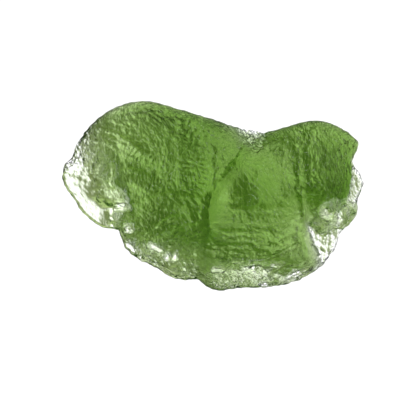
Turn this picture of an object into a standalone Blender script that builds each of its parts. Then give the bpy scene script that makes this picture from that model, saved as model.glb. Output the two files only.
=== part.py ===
"""A moldavite: one natural piece of green glass, etched and pitted, lying on its belly.

The stone is a quad sphere drawn out to a kidney outline. Its face and its belly are heights over
the plan, and etch pits are then pressed into the finished skin. Plan places are (u, v): u runs from
-1 at the left tip to 1 at the right, and v from -1 to 1 over the width.
"""

import math
from collections import namedtuple

import bmesh
import bpy
import numpy as np
from mathutils import Vector, noise

# Driving dimensions, in metres. The outline is centred on the plan centre, a (u, v) place.
LENGTH = 0.0320
WIDTH = 0.0200
MM = 0.001
PLAN_CENTRE = (-0.03, 0.06)

# The body: how deep its belly is, how much lower it is at the rim, and its least half thickness.
BELLY_DEPTH = 3.4 * MM
DOME = 0.26
DOME_POWER = 3
LEAST_HALF = 0.2 * MM

# The flat spot is cut this far up from the lowest point.
REST_DEPTH = 0.26 * MM
CUTTER_DEPTH = 4.0 * MM

# The fineness of the solid: cuts across each side of the cube, how its narrowest creases are eased,
# and the share of faces then kept.
FACE_CUTS = 72
EASE_STEPS = 3
EASE_FACTOR = 0.5
TRIANGLES_KEPT = 0.152

# The outline seen from above, anticlockwise from the right tip.
OUTLINE = [
    (1.00, 0.14), (0.97, 0.25), (0.93, 0.35), (0.94, 0.44), (0.96, 0.52), (0.92, 0.63), (0.85, 0.71),
    (0.73, 0.79), (0.62, 0.79), (0.50, 0.74), (0.38, 0.69), (0.26, 0.70), (0.14, 0.74), (0.03, 0.80),
    (-0.10, 0.86), (-0.25, 0.93), (-0.38, 0.99), (-0.50, 1.00), (-0.62, 0.95), (-0.72, 0.87),
    (-0.80, 0.76), (-0.87, 0.63), (-0.91, 0.52), (-0.93, 0.43), (-0.98, 0.34), (-1.00, 0.22),
    (-0.98, 0.10), (-0.93, -0.01), (-0.88, -0.14), (-0.79, -0.27), (-0.71, -0.34), (-0.65, -0.35),
    (-0.61, -0.43), (-0.58, -0.54), (-0.52, -0.64), (-0.42, -0.72), (-0.34, -0.79), (-0.28, -0.85),
    (-0.17, -0.89), (-0.09, -0.89), (-0.04, -0.95), (0.05, -1.00), (0.18, -0.97), (0.33, -0.97),
    (0.47, -0.94), (0.60, -0.87), (0.72, -0.74), (0.79, -0.62), (0.83, -0.47), (0.85, -0.38),
    (0.91, -0.29), (0.96, -0.17), (0.96, -0.04), (0.98, 0.05),
]

# The edge by compass angle on the plan: how far in it is rounded, how sharp it is (a half power is a
# full round, and a whole power a keen edge), and its height over the middle plane.
Edge = namedtuple("Edge", "angle width power height")

EDGES = [
    Edge(0, 1.4 * MM, 0.6, -0.9 * MM), Edge(22, 1.5 * MM, 0.5, -0.9 * MM),
    Edge(48, 3.0 * MM, 0.8, -1.1 * MM), Edge(72, 1.8 * MM, 0.6, -1.1 * MM),
    Edge(120, 1.6 * MM, 0.55, -1.1 * MM),
    Edge(150, 1.8 * MM, 0.6, -1.5 * MM), Edge(172, 2.4 * MM, 0.8, -2.2 * MM),
    Edge(200, 2.2 * MM, 0.8, -2.2 * MM), Edge(209, 2.2 * MM, 0.8, -2.0 * MM),
    Edge(220, 4.0 * MM, 0.9, -1.7 * MM), Edge(232, 5.6 * MM, 0.9, -1.6 * MM),
    Edge(252, 5.8 * MM, 0.9, -1.5 * MM), Edge(268, 4.4 * MM, 0.8, -1.3 * MM),
    Edge(310, 3.4 * MM, 0.8, -1.0 * MM), Edge(335, 2.4 * MM, 0.7, -1.0 * MM),
]

# A mound rises, and a hollow has a rise below zero. Half sizes are in metres, turn is in degrees.
Mound = namedtuple("Mound", "at along across turn rise")

FACE_MOUNDS = [
    Mound((-0.55, 0.51), 2.4 * MM, 0.9 * MM, -28, -0.9 * MM),
    Mound((-0.20, 0.82), 4.4 * MM, 1.6 * MM, -16, 1.5 * MM),
    Mound((-0.04, 0.56), 3.2 * MM, 1.7 * MM, -12, 1.0 * MM),
    Mound((-0.42, 0.27), 2.0 * MM, 1.2 * MM, -30, 0.9 * MM),
    Mound((-0.52, 0.00), 1.6 * MM, 1.5 * MM, 0, 0.7 * MM),
    Mound((-0.59, -0.30), 0.9 * MM, 1.2 * MM, 0, 1.0 * MM),
    Mound((-0.20, -0.20), 2.4 * MM, 2.2 * MM, 10, 0.4 * MM),
    Mound((-0.10, 0.06), 1.6 * MM, 1.4 * MM, 0, 0.4 * MM),
    Mound((0.29, 0.56), 2.4 * MM, 1.8 * MM, 10, -2.3 * MM),
    Mound((0.09, 0.03), 1.4 * MM, 2.0 * MM, 0, -1.6 * MM),
    Mound((0.29, 0.02), 1.5 * MM, 1.7 * MM, 0, 1.1 * MM),
    Mound((0.34, 0.00), 4.2 * MM, 2.8 * MM, 0, -0.6 * MM),
    Mound((0.22, -0.34), 3.6 * MM, 2.0 * MM, -4, -0.5 * MM),
    Mound((0.52, -0.30), 2.2 * MM, 1.1 * MM, 78, -1.0 * MM),
    Mound((0.52, 0.30), 1.4 * MM, 3.0 * MM, 8, -0.5 * MM),
    Mound((0.82, 0.38), 2.0 * MM, 3.0 * MM, 8, 0.8 * MM),
    Mound((0.86, 0.24), 2.4 * MM, 1.1 * MM, 80, 0.9 * MM),
    Mound((0.80, 0.10), 2.2 * MM, 1.8 * MM, 80, 1.1 * MM),
    Mound((0.57, 0.09), 2.8 * MM, 1.4 * MM, 12, 1.0 * MM),
    Mound((0.46, -0.62), 2.2 * MM, 0.9 * MM, 24, -0.6 * MM),
    Mound((-0.40, -0.46), 2.6 * MM, 1.6 * MM, -28, -0.4 * MM),
    Mound((-0.20, -0.60), 4.0 * MM, 1.7 * MM, -10, -1.4 * MM),
]

BELLY_MOUNDS = [
    Mound((0.08, 0.08), 5.4 * MM, 4.0 * MM, 0, 1.1 * MM),
    Mound((-0.18, -0.20), 2.6 * MM, 2.4 * MM, 0, 0.4 * MM),
    Mound((-0.25, 0.25), 4.0 * MM, 4.0 * MM, 0, 0.3 * MM),
    Mound((0.28, 0.60), 3.0 * MM, 2.4 * MM, 8, -1.3 * MM),
    Mound((0.82, 0.32), 3.0 * MM, 3.4 * MM, 0, 1.3 * MM),
]

# A thin part of the stone: its border on the plan, how thick it is there, and how broad the slopes
# of the face and the belly are that go down to it. The belly has its share of that thickness, and
# the edge is rounded no further in than its share.
ThinPart = namedtuple("ThinPart", "border thick face_slope belly_slope")
THIN_BELLY_SHARE = 0.45
THIN_EDGE_SHARE = 0.6

THIN_PARTS = [
    ThinPart(  # the lower left end
        [(-1.10, 0.34), (-0.95, 0.28), (-0.86, 0.20), (-0.78, 0.09), (-0.70, -0.02), (-0.62, -0.08),
         (-0.66, -0.20), (-0.67, -0.26), (-0.68, -0.40), (-1.10, -0.45)],
        2.3 * MM, 2.6 * MM, 3.4 * MM,
    ),
    ThinPart(  # its drop beside the broken step
        [(-0.70, 0.14), (-0.675, 0.09), (-0.62, 0.07), (-0.59, 0.03), (-0.58, -0.03), (-0.56, -0.08),
         (-0.55, -0.12), (-0.60, -0.14), (-0.66, -0.13), (-0.66, -0.20), (-0.74, -0.18),
         (-0.76, 0.02)],
        3.4 * MM, 0.5 * MM, 2.4 * MM,
    ),
    ThinPart(  # the nearly clear flake at its foot
        [(-1.10, 0.40), (-0.92, 0.32), (-0.84, 0.18), (-0.78, 0.04), (-0.70, -0.04), (-0.63, -0.07),
         (-0.63, -0.13), (-0.67, -0.20), (-0.68, -0.26), (-0.68, -0.40), (-1.10, -0.45)],
        0.7 * MM, 2.4 * MM, 2.6 * MM,
    ),
    ThinPart(  # the splintered foot of that step
        [(-0.66, -0.27), (-0.62, -0.31), (-0.60, -0.36), (-0.59, -0.46), (-0.57, -0.58), (-0.64, -0.66),
         (-0.75, -0.40)],
        1.0 * MM, 0.5 * MM, 0.9 * MM,
    ),
    ThinPart(  # the pitted band along the lower edge
        [(-0.02, -0.80), (0.06, -0.70), (0.17, -0.68), (0.26, -0.69), (0.34, -0.68), (0.40, -0.70),
         (0.48, -0.77), (0.60, -0.80), (0.66, -0.86), (0.50, -1.15), (0.04, -1.15), (-0.02, -0.95)],
        3.3 * MM, 3.0 * MM, 3.6 * MM,
    ),
    ThinPart(  # its thinnest stretch
        [(0.14, -0.77), (0.24, -0.73), (0.34, -0.72), (0.42, -0.76), (0.56, -0.84), (0.50, -0.90),
         (0.36, -0.86), (0.20, -0.84)],
        2.0 * MM, 1.4 * MM, 2.0 * MM,
    ),
    ThinPart(  # the lobe right of the long step
        [(0.60, -0.12), (0.60, -0.20), (0.62, -0.27), (0.65, -0.37), (0.68, -0.46), (0.70, -0.62),
         (0.78, -0.80), (1.10, -0.50), (1.10, -0.06), (0.90, -0.16), (0.76, -0.18)],
        4.4 * MM, 3.8 * MM, 3.8 * MM,
    ),
    ThinPart(  # clear glass at the lower right
        [(0.60, -0.27), (0.66, -0.23), (0.70, -0.28), (0.74, -0.34), (0.78, -0.31), (0.82, -0.27),
         (0.88, -0.26), (1.05, -0.25), (0.95, -0.85), (0.72, -0.85), (0.68, -0.69), (0.65, -0.56),
         (0.62, -0.46), (0.60, -0.37)],
        0.8 * MM, 1.6 * MM, 2.0 * MM,
    ),
    ThinPart(  # the clear strip down the right edge
        [(0.95, 0.44), (0.89, 0.37), (0.89, 0.14), (0.88, 0.02), (0.87, -0.06), (0.92, -0.12),
         (1.10, -0.10), (1.15, 0.35)],
        0.9 * MM, 0.8 * MM, 1.4 * MM,
    ),
]

# A window is a small place where the glass is thin and light comes straight through.
Window = namedtuple("Window", "at along across turn thick")

WINDOWS = [
    Window((0.755, -0.15), 0.80 * MM, 0.75 * MM, 0, 1.0 * MM),
    Window((0.845, -0.18), 0.60 * MM, 1.10 * MM, -10, 1.0 * MM),
    Window((-0.59, -0.09), 0.60 * MM, 0.40 * MM, -10, 1.2 * MM),
    Window((-0.54, -0.34), 0.45 * MM, 0.40 * MM, 0, 1.8 * MM),
    Window((-0.53, -0.53), 0.60 * MM, 0.30 * MM, -50, 0.8 * MM),
    Window((-0.37, -0.53), 0.70 * MM, 0.22 * MM, -24, 2.0 * MM),
    Window((-0.29, -0.63), 0.26 * MM, 0.34 * MM, 0, 1.8 * MM),
    Window((-0.24, -0.62), 0.20 * MM, 0.40 * MM, -20, 2.0 * MM),
    Window((0.04, -0.76), 0.60 * MM, 0.20 * MM, 0, 1.6 * MM),
    Window((0.27, -0.75), 0.90 * MM, 0.28 * MM, 4, 1.2 * MM),
    Window((0.42, -0.71), 0.60 * MM, 0.26 * MM, 24, 1.4 * MM),
    Window((0.36, -0.92), 0.70 * MM, 0.22 * MM, 6, 0.6 * MM),
    Window((0.56, -0.80), 1.20 * MM, 0.30 * MM, 26, 0.6 * MM),
]
WINDOW_BLEND = 0.6

# The left end is a wedge: thickness by place along a line turned from the length.
WEDGE_TURN = 16
WEDGE = [
    (-14.0 * MM, 0.8 * MM), (-12.0 * MM, 2.0 * MM), (-10.5 * MM, 3.5 * MM), (-9.2 * MM, 5.3 * MM),
    (-8.0 * MM, 6.7 * MM), (-6.5 * MM, 7.2 * MM), (-4.5 * MM, 7.8 * MM), (-2.0 * MM, 8.5 * MM),
    (0.0, 8.9 * MM),
]

# A crease follows a path on the face. Its rise is a ridge above zero and a groove below. Its step
# lifts the ground on the left of the path, out to some half widths. Creases and ripples are full
# where the stone is thick enough, and fade where it is thin.
Crease = namedtuple("Crease", "path half_width rise step")
STEP_REACH = 5
FULL_RELIEF = 4.0 * MM

CREASES = [
    Crease(  # the short broken edge of the left step
        [(-0.64, 0.30), (-0.64, 0.21), (-0.66, 0.13), (-0.62, 0.08), (-0.57, 0.03), (-0.55, -0.04),
         (-0.53, -0.13)],
        0.24 * MM, -0.80 * MM, 0.5 * MM,
    ),
    Crease(  # the groove down the middle
        [(0.01, 0.46), (-0.01, 0.34), (0.01, 0.22), (-0.01, 0.10), (-0.04, 0.00)],
        0.28 * MM, -0.34 * MM, 0.0,
    ),
    Crease([(-0.04, -0.04), (-0.06, -0.17), (-0.07, -0.31)], 0.30 * MM, -0.14 * MM, 0.0),
    Crease(  # the long curved ridge beside it
        [(0.20, 0.46), (0.135, 0.28), (0.07, 0.15), (0.01, 0.02), (-0.01, -0.10), (-0.02, -0.25),
         (-0.01, -0.35)],
        0.60 * MM, 1.00 * MM, 0.0,
    ),
    Crease(  # the fold above the ridge
        [(0.17, 0.46), (0.11, 0.35), (0.05, 0.21)],
        0.20 * MM, -0.75 * MM, 0.0,
    ),
    Crease(  # the wedge-shaped cut in the left bowl
        [(-0.35, -0.31), (-0.29, -0.25), (-0.24, -0.22)],
        0.18 * MM, -0.50 * MM, 0.30 * MM,
    ),
    Crease([(-0.31, -0.45), (-0.27, -0.41), (-0.24, -0.38)], 0.18 * MM, -0.30 * MM, 0.0),
    Crease([(-0.57, -0.29), (-0.50, -0.31), (-0.46, -0.35), (-0.35, -0.42), (-0.31, -0.47)],
           0.16 * MM, -0.20 * MM, 0.15 * MM),
    Crease(  # the upper rim of that bowl
        [(-0.41, -0.04), (-0.34, 0.01), (-0.25, 0.03), (-0.14, 0.00), (-0.03, -0.02)],
        0.24 * MM, -0.20 * MM, 0.40 * MM,
    ),
    Crease([(-0.11, -0.02), (-0.09, -0.12), (-0.08, -0.24)], 0.22 * MM, 0.18 * MM, 0.0),
    Crease([(-0.16, -0.10), (-0.13, -0.24), (-0.15, -0.36)], 0.22 * MM, -0.18 * MM, 0.0),
    Crease(  # the shelf under the middle bowl
        [(0.12, -0.12), (0.22, -0.135), (0.34, -0.13), (0.42, -0.11)],
        0.20 * MM, -0.28 * MM, 0.25 * MM,
    ),
    Crease([(0.08, -0.37), (0.18, -0.36), (0.26, -0.37)], 0.18 * MM, -0.22 * MM, 0.20 * MM),
    Crease([(0.02, -0.50), (0.12, -0.50), (0.24, -0.51), (0.28, -0.56)], 0.20 * MM, -0.26 * MM, 0.0),
    Crease(  # the dark trough above the lower lip
        [(0.02, -0.54), (0.18, -0.57), (0.30, -0.58), (0.42, -0.54), (0.52, -0.47)],
        0.55 * MM, -0.50 * MM, 0.0,
    ),
    Crease(  # the lower lip
        [(0.14, -0.67), (0.25, -0.68), (0.32, -0.67), (0.37, -0.63), (0.46, -0.56), (0.54, -0.50)],
        0.18 * MM, -0.80 * MM, 0.40 * MM,
    ),
    Crease(  # the second ledge below it
        [(0.35, -0.83), (0.44, -0.74), (0.52, -0.71), (0.60, -0.70)],
        0.18 * MM, -0.25 * MM, -0.40 * MM,
    ),
    Crease([(-0.11, -0.54), (-0.10, -0.62), (-0.10, -0.74)], 0.20 * MM, -0.25 * MM, 0.0),
    Crease(  # the long step on the right
        [(0.70, -0.66), (0.67, -0.52), (0.63, -0.42), (0.60, -0.33), (0.585, -0.24), (0.58, -0.14),
         (0.56, 0.00)],
        0.24 * MM, 0.80 * MM, 0.0,
    ),
    Crease(  # the upright folds in the right lobe
        [(0.52, 0.56), (0.53, 0.40), (0.55, 0.26), (0.54, 0.10)],
        0.35 * MM, 0.14 * MM, 0.0,
    ),
    Crease([(0.60, 0.46), (0.62, 0.34), (0.61, 0.20), (0.63, 0.06)], 0.32 * MM, 0.12 * MM, 0.0),
    Crease([(0.70, 0.44), (0.69, 0.28), (0.71, 0.12), (0.69, 0.00)], 0.22 * MM, -0.10 * MM, 0.0),
    Crease([(0.61, 0.62), (0.72, 0.68), (0.82, 0.66), (0.90, 0.58)], 0.35 * MM, 0.22 * MM, 0.0),
    Crease(  # upright dark folds left of the ripples
        [(-0.20, 0.75), (-0.20, 0.60), (-0.21, 0.46), (-0.20, 0.30), (-0.21, 0.14)],
        0.22 * MM, -0.18 * MM, 0.0,
    ),
    Crease([(-0.28, 0.66), (-0.30, 0.50), (-0.28, 0.36)], 0.20 * MM, -0.12 * MM, 0.0),
    Crease(  # the sweeping lines beside the light streak
        [(-0.74, 0.70), (-0.62, 0.64), (-0.52, 0.54), (-0.46, 0.44)],
        0.20 * MM, -0.20 * MM, 0.0,
    ),
    Crease([(-0.78, 0.60), (-0.68, 0.56), (-0.60, 0.46), (-0.50, 0.38)], 0.20 * MM, -0.22 * MM, 0.15 * MM),
    Crease([(-0.62, 0.22), (-0.54, 0.27), (-0.46, 0.24), (-0.38, 0.16)], 0.18 * MM, -0.20 * MM, 0.0),
    Crease([(-0.60, 0.12), (-0.50, 0.13), (-0.42, 0.06)], 0.18 * MM, -0.16 * MM, 0.0),
    Crease(  # the ledge round the flake at the upper left edge
        [(-0.94, 0.42), (-0.85, 0.48), (-0.81, 0.58), (-0.82, 0.68), (-0.75, 0.80), (-0.66, 0.90)],
        0.18 * MM, -0.30 * MM, 0.35 * MM,
    ),
    Crease(  # the crack under the left step
        [(-0.56, -0.13), (-0.65, -0.13), (-0.66, -0.22), (-0.62, -0.29), (-0.60, -0.36), (-0.60, -0.50)],
        0.20 * MM, -1.00 * MM, 0.3 * MM,
    ),
]

BELLY_CREASES = [
    Crease([(-0.70, 0.10), (-0.45, 0.20), (-0.20, 0.45), (0.00, 0.70)], 0.60 * MM, -0.30 * MM, 0.0),
    Crease([(-0.40, -0.45), (-0.15, -0.35), (0.10, -0.45), (0.40, -0.35)], 0.60 * MM, -0.30 * MM, 0.0),
    Crease([(0.35, 0.60), (0.45, 0.30), (0.70, 0.05)], 0.60 * MM, -0.30 * MM, 0.0),
]

# Ripples: a patch of near-parallel wrinkles. Their turn is the way that the wrinkles run, and the
# wander bends them.
Ripples = namedtuple("Ripples", "at along across turn pitch depth")
RIPPLE_WANDER = 5

RIPPLES = [
    Ripples((-0.11, 0.17), 1.6 * MM, 2.0 * MM, -4, 0.50 * MM, 0.13 * MM),
    Ripples((-0.55, 0.60), 3.0 * MM, 1.6 * MM, -24, 0.60 * MM, 0.07 * MM),
    Ripples((-0.14, 0.62), 2.6 * MM, 1.8 * MM, 70, 0.70 * MM, 0.07 * MM),
    Ripples((0.62, 0.45), 2.6 * MM, 2.4 * MM, 82, 0.85 * MM, 0.05 * MM),
    Ripples((0.25, -0.32), 4.0 * MM, 1.4 * MM, 2, 1.10 * MM, 0.07 * MM),
    Ripples((0.64, -0.12), 1.0 * MM, 1.1 * MM, 8, 0.45 * MM, 0.08 * MM),
    Ripples((-0.16, -0.12), 1.8 * MM, 1.8 * MM, -50, 0.95 * MM, 0.08 * MM),
]

# Etch pits are bowls that meet in sharp rims, by width and depth: a wide set and a fine one. They
# are deeper in the rough patches, by the rise of each patch, and shallower where the stone is thin.
PITS = [(1.10 * MM, 0.10 * MM), (0.60 * MM, 0.14 * MM)]
PIT_RADIUS = 0.55
THIN_PIT_SHARE = 0.45
PITS_GROW = (0.3 * MM, 2.5 * MM)
ROUGH_PATCHES = [
    Mound((0.27, 0.60), 2.0 * MM, 1.2 * MM, 0, 3.0),
    Mound((0.72, -0.46), 2.0 * MM, 2.4 * MM, 0, 2.0),
    Mound((0.30, -0.86), 5.0 * MM, 1.2 * MM, 0, 1.6),
    Mound((-0.44, -0.62), 3.0 * MM, 1.0 * MM, -40, 0.8),
    Mound((-0.85, 0.32), 1.6 * MM, 2.0 * MM, 0, 0.8),
    Mound((-0.76, -0.16), 2.6 * MM, 1.8 * MM, 0, -0.9),
    Mound((0.92, 0.50), 1.0 * MM, 1.6 * MM, 0, 0.8),
]

# Noise, each by width and height. Swells are broad waves of the whole skin. The wander makes the
# creases and borders uneven, and the beads roughen the outline and fade quickly inwards.
SWELLS = [(6.0 * MM, 0.20 * MM), (2.6 * MM, 0.12 * MM), (1.4 * MM, 0.06 * MM)]
WANDER = (0.9 * MM, 0.12 * MM)
BEADS = (0.50 * MM, 0.10 * MM)
BEAD_POWER = 8
SEED_SHIFT = Vector((3.7, 1.3, 8.1))
WANDER_SEED = 1
SWELL_SEED = 3
PIT_SEED = 6
BEAD_SEED = 9

GLASS_COLOUR = (0.12, 0.27, 0.04, 1)
GLASS_ROUGHNESS = 0.12
SOLID_IOR = 1.49


def empty_scene():
    for thing in list(bpy.data.objects):
        bpy.data.objects.remove(thing)


def collection(name):
    made = bpy.data.collections.new(name)
    bpy.context.scene.collection.children.link(made)
    return made


def ease(values, low, high):
    """0 below low, 1 above high, and a smooth rise between."""
    t = np.clip((values - low) / (high - low), 0, 1)
    return t * t * (3 - 2 * t)


def to_plan(place):
    """A (u, v) place in metres."""
    return place[0] * LENGTH / 2, place[1] * WIDTH / 2


def round_loop(knots, at):
    """A smooth closed curve of value over angle, read at the given angles. Knots are (angle, value)."""
    knots = sorted(knots)
    angle = np.array([k[0] for k in knots])
    value = np.array([k[1] for k in knots])
    angle = np.concatenate((angle[-2:] - math.tau, angle, angle[:2] + math.tau))
    value = np.concatenate((value[-2:], value, value[:2]))
    slope = np.gradient(value, angle)
    i = np.clip(np.searchsorted(angle, at) - 1, 0, len(angle) - 2)
    span = angle[i + 1] - angle[i]
    t = (at - angle[i]) / span
    start = (1 + 2 * t) * (1 - t) ** 2 * value[i] + t * (1 - t) ** 2 * span * slope[i]
    end = t * t * (3 - 2 * t) * value[i + 1] + t * t * (t - 1) * span * slope[i + 1]
    return start + end


def outline_knots():
    """The outline as (angle, radius) about the plan's centre."""
    cx, cy = to_plan(PLAN_CENTRE)
    knots = []
    for place in OUTLINE:
        x, y = to_plan(place)
        knots.append((math.atan2(y - cy, x - cx), math.hypot(x - cx, y - cy)))
    return knots


def edge_knots(values):
    angles = [math.remainder(math.radians(e.angle), math.tau) for e in EDGES]
    return list(zip(angles, values))


def path_field(x, y, path):
    """Distance to a path on the plan, and the side of it: 1 on its left, -1 on its right."""
    nearest = np.full(x.shape, np.inf)
    side = np.ones(x.shape)
    for start, end in zip(path, path[1:]):
        ax, ay = to_plan(start)
        bx, by = to_plan(end)
        dx, dy = bx - ax, by - ay
        t = np.clip(((x - ax) * dx + (y - ay) * dy) / (dx * dx + dy * dy), 0, 1)
        away = np.hypot(x - ax - t * dx, y - ay - t * dy)
        closer = away < nearest
        nearest = np.where(closer, away, nearest)
        side = np.where(closer, np.sign(dx * (y - ay) - dy * (x - ax)), side)
    return nearest, side


def inside_depth(x, y, border):
    """How far inside a border a place is, below zero outside it."""
    away, _ = path_field(x, y, border + border[:1])
    within = np.zeros(x.shape, bool)
    for start, end in zip(border, border[1:] + border[:1]):
        ax, ay = to_plan(start)
        bx, by = to_plan(end)
        crosses = (ay > y) != (by > y)
        rise = by - ay if by != ay else 1.0
        within ^= crosses & (x < ax + (y - ay) * (bx - ax) / rise)
    return np.where(within, away, -away)


def turned(x, y, at, turn):
    """Places measured from a centre, along and across a direction."""
    cx, cy = to_plan(at)
    c, s = math.cos(math.radians(turn)), math.sin(math.radians(turn))
    return (x - cx) * c + (y - cy) * s, (y - cy) * c - (x - cx) * s


def mound_field(x, y, mounds):
    total = np.zeros(x.shape)
    for m in mounds:
        along, across = turned(x, y, m.at, m.turn)
        total += m.rise * np.exp(-((along / m.along) ** 2) - (across / m.across) ** 2)
    return total


def crease_field(x, y, creases):
    total = np.zeros(x.shape)
    for c in creases:
        away, side = path_field(x, y, c.path)
        near = np.exp(-((away / c.half_width) ** 2))
        fade = np.exp(-((away / (STEP_REACH * c.half_width)) ** 2))
        raised = ease(side * away, -c.half_width / 2, c.half_width / 2)
        total += c.rise * near + c.step * fade * raised
    return total


def ripple_field(x, y, wander):
    total = np.zeros(x.shape)
    for r in RIPPLES:
        along, across = turned(x, y, r.at, r.turn)
        patch = np.exp(-((along / r.along) ** 4) - (across / r.across) ** 4)
        total += r.depth * patch * np.sin(math.tau * across / r.pitch + RIPPLE_WANDER * wander)
    return total


def noise_field(places, size, seed):
    """Smooth noise between -1 and 1, with lumps about as wide as size."""
    shift = SEED_SHIFT * seed
    return np.array([noise.noise(Vector(p) / size + shift) for p in places])


def pit_field(places, size, seed):
    """Bowls about as wide as size, 0 at their rims and -1 at the bottom."""
    shift = SEED_SHIFT * seed
    near = np.array([noise.voronoi(Vector(p) / size + shift)[0][0] for p in places])
    return np.minimum(near / PIT_RADIUS, 1.0) ** 2 - 1


def quad_sphere(cuts):
    """A unit sphere of near-even squares: a cube, cut up and pushed out."""
    bm = bmesh.new()
    bmesh.ops.create_cube(bm, size=2.0)
    bmesh.ops.subdivide_edges(bm, edges=bm.edges[:], cuts=cuts, use_grid_fill=True)
    for vert in bm.verts:
        vert.co = Vector([math.tan(c * math.pi / 4) for c in vert.co]).normalized()
    mesh = bpy.data.meshes.new("moldavite")
    bm.to_mesh(mesh)
    bm.free()
    return mesh


def read(mesh, what="co"):
    source = mesh.vertices if what == "co" else mesh.vertex_normals
    flat = np.empty(3 * len(source))
    source.foreach_get("co" if what == "co" else "vector", flat)
    return flat.reshape(-1, 3)


def write(mesh, points):
    mesh.vertices.foreach_set("co", points.astype(np.float32).ravel())
    mesh.update()


def thickness(x, y):
    """The plain body, thinned to a wedge at its left end."""
    along, _ = turned(x, y, (0, 0), WEDGE_TURN)
    place, thick = zip(*WEDGE)
    return np.interp(along, place, thick)


def thinned(face, belly, rim, thick, over, under):
    """Face and belly drawn together to this thickness about the rim's height, by these shares."""
    face = face + (thick * (1 - THIN_BELLY_SHARE) + rim - face) * over
    belly = belly + (thick * THIN_BELLY_SHARE - rim - belly) * under
    return face, belly


def shaped(sphere):
    """The smooth stone: each point of the sphere moved out to the outline and up or down to its skin."""
    reach = np.hypot(sphere[:, 0], sphere[:, 1])
    angle = np.arctan2(sphere[:, 1], sphere[:, 0])
    radius = round_loop(outline_knots(), angle)
    cx, cy = to_plan(PLAN_CENTRE)
    x = cx + reach * radius * np.cos(angle)
    y = cy + reach * radius * np.sin(angle)

    flat = np.column_stack((x, y, np.zeros(len(x))))
    beads = BEADS[1] * noise_field(flat, BEADS[0], BEAD_SEED) * reach ** BEAD_POWER
    x += beads * np.cos(angle)
    y += beads * np.sin(angle)
    wander = noise_field(flat, WANDER[0], WANDER_SEED)
    wx = x + WANDER[1] * wander
    wy = y + WANDER[1] * noise_field(flat, WANDER[0], WANDER_SEED + 1)
    swell = sum(h * noise_field(flat, w, SWELL_SEED + i) for i, (w, h) in enumerate(SWELLS))

    dome = 1 - DOME * reach ** DOME_POWER
    belly = BELLY_DEPTH * dome + mound_field(x, y, BELLY_MOUNDS) - swell
    body = thickness(x, y) * dome
    face = body - BELLY_DEPTH + mound_field(x, y, FACE_MOUNDS) + swell
    wide, power, rim = (round_loop(edge_knots(values), angle) for values in list(zip(*EDGES))[1:])
    for part in THIN_PARTS:
        depth = inside_depth(wx, wy, part.border)
        over = ease(depth, -part.face_slope / 2, part.face_slope / 2)
        under = ease(depth, -part.belly_slope / 2, part.belly_slope / 2)
        face, belly = thinned(face, belly, rim, part.thick, over, under)
        wide += (np.minimum(wide, THIN_EDGE_SHARE * part.thick) - wide) * over

    relief = np.clip((face + belly) / FULL_RELIEF, 0, 1)
    face += relief * (crease_field(wx, wy, CREASES) + ripple_field(wx, wy, wander))
    belly += relief * crease_field(wx, wy, BELLY_CREASES)
    for window in WINDOWS:
        along, across = turned(wx, wy, window.at, window.turn)
        inside = 1 - np.hypot(along / window.along, across / window.across)
        share = ease(inside, -WINDOW_BLEND, WINDOW_BLEND)
        face, belly = thinned(face, belly, rim, window.thick, share, share)
    inward = np.clip((1 - reach) * radius / wide, 0, 1)
    rounding = (1 - (1 - inward) ** 2) ** power
    top = np.maximum(face - rim, LEAST_HALF)
    bottom = np.maximum(belly + rim, LEAST_HALF)
    z = rim + np.where(sphere[:, 2] >= 0, top, -bottom) * rounding
    return np.column_stack((x, y, z)), (top + bottom) * rounding


def etched(points, normals, thick):
    """The finished skin: bowls pressed in along the normals, shallower where the stone is thin."""
    depth = sum(d * pit_field(points, width, PIT_SEED + i) for i, (width, d) in enumerate(PITS))
    depth *= 1 + mound_field(points[:, 0], points[:, 1], ROUGH_PATCHES)
    depth *= THIN_PIT_SHARE + (1 - THIN_PIT_SHARE) * ease(thick, *PITS_GROW)
    return points + normals * depth[:, None]


def build_stone(into):
    """The stone as one object, set so that the cutter leaves its flat spot at z = 0."""
    mesh = quad_sphere(FACE_CUTS)
    points, thick = shaped(read(mesh))
    write(mesh, points)
    points = etched(points, read(mesh, "normal"), thick)
    low, high = points.min(0), points.max(0)
    points -= ((low[0] + high[0]) / 2, (low[1] + high[1]) / 2, low[2] + REST_DEPTH)
    write(mesh, points)
    mesh.shade_smooth()
    stone = bpy.data.objects.new("moldavite", mesh)
    into.objects.link(stone)
    eased = stone.modifiers.new("eased creases", "SMOOTH")
    eased.iterations = EASE_STEPS
    eased.factor = EASE_FACTOR
    fewer = stone.modifiers.new("fewer faces", "DECIMATE")
    fewer.ratio = TRIANGLES_KEPT
    return stone


def rest_cutter(into):
    """A slab whose top face cuts the small flat spot that the stone rests on."""
    bpy.ops.mesh.primitive_cube_add(size=1.0, location=(0, 0, -CUTTER_DEPTH / 2))
    slab = bpy.context.object
    slab.name = "rest_cutter"
    slab.scale = (2 * LENGTH, 2 * LENGTH, CUTTER_DEPTH)
    slab.hide_render = True
    slab.display_type = "WIRE"
    for holder in list(slab.users_collection):
        holder.objects.unlink(slab)
    into.objects.link(slab)
    return slab


def glass():
    """Clear green glass: the colour is that of the thick body against a white ground."""
    made = bpy.data.materials.new("moldavite_glass")
    made.use_nodes = True
    shader = made.node_tree.nodes["Principled BSDF"]
    shader.inputs["Base Color"].default_value = GLASS_COLOUR
    shader.inputs["Roughness"].default_value = GLASS_ROUGHNESS
    shader.inputs["Metallic"].default_value = 0.0
    shader.inputs["IOR"].default_value = SOLID_IOR
    return made


def main():
    empty_scene()
    stone = build_stone(collection("Moldavite"))
    stone.data.materials.append(glass())
    cut = stone.modifiers.new("flat spot", "BOOLEAN")
    cut.operation = "DIFFERENCE"
    cut.object = rest_cutter(collection("Cutters"))


main()
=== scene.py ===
import math
from collections import namedtuple

import bmesh
import bpy
import numpy as np
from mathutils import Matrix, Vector, noise


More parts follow.
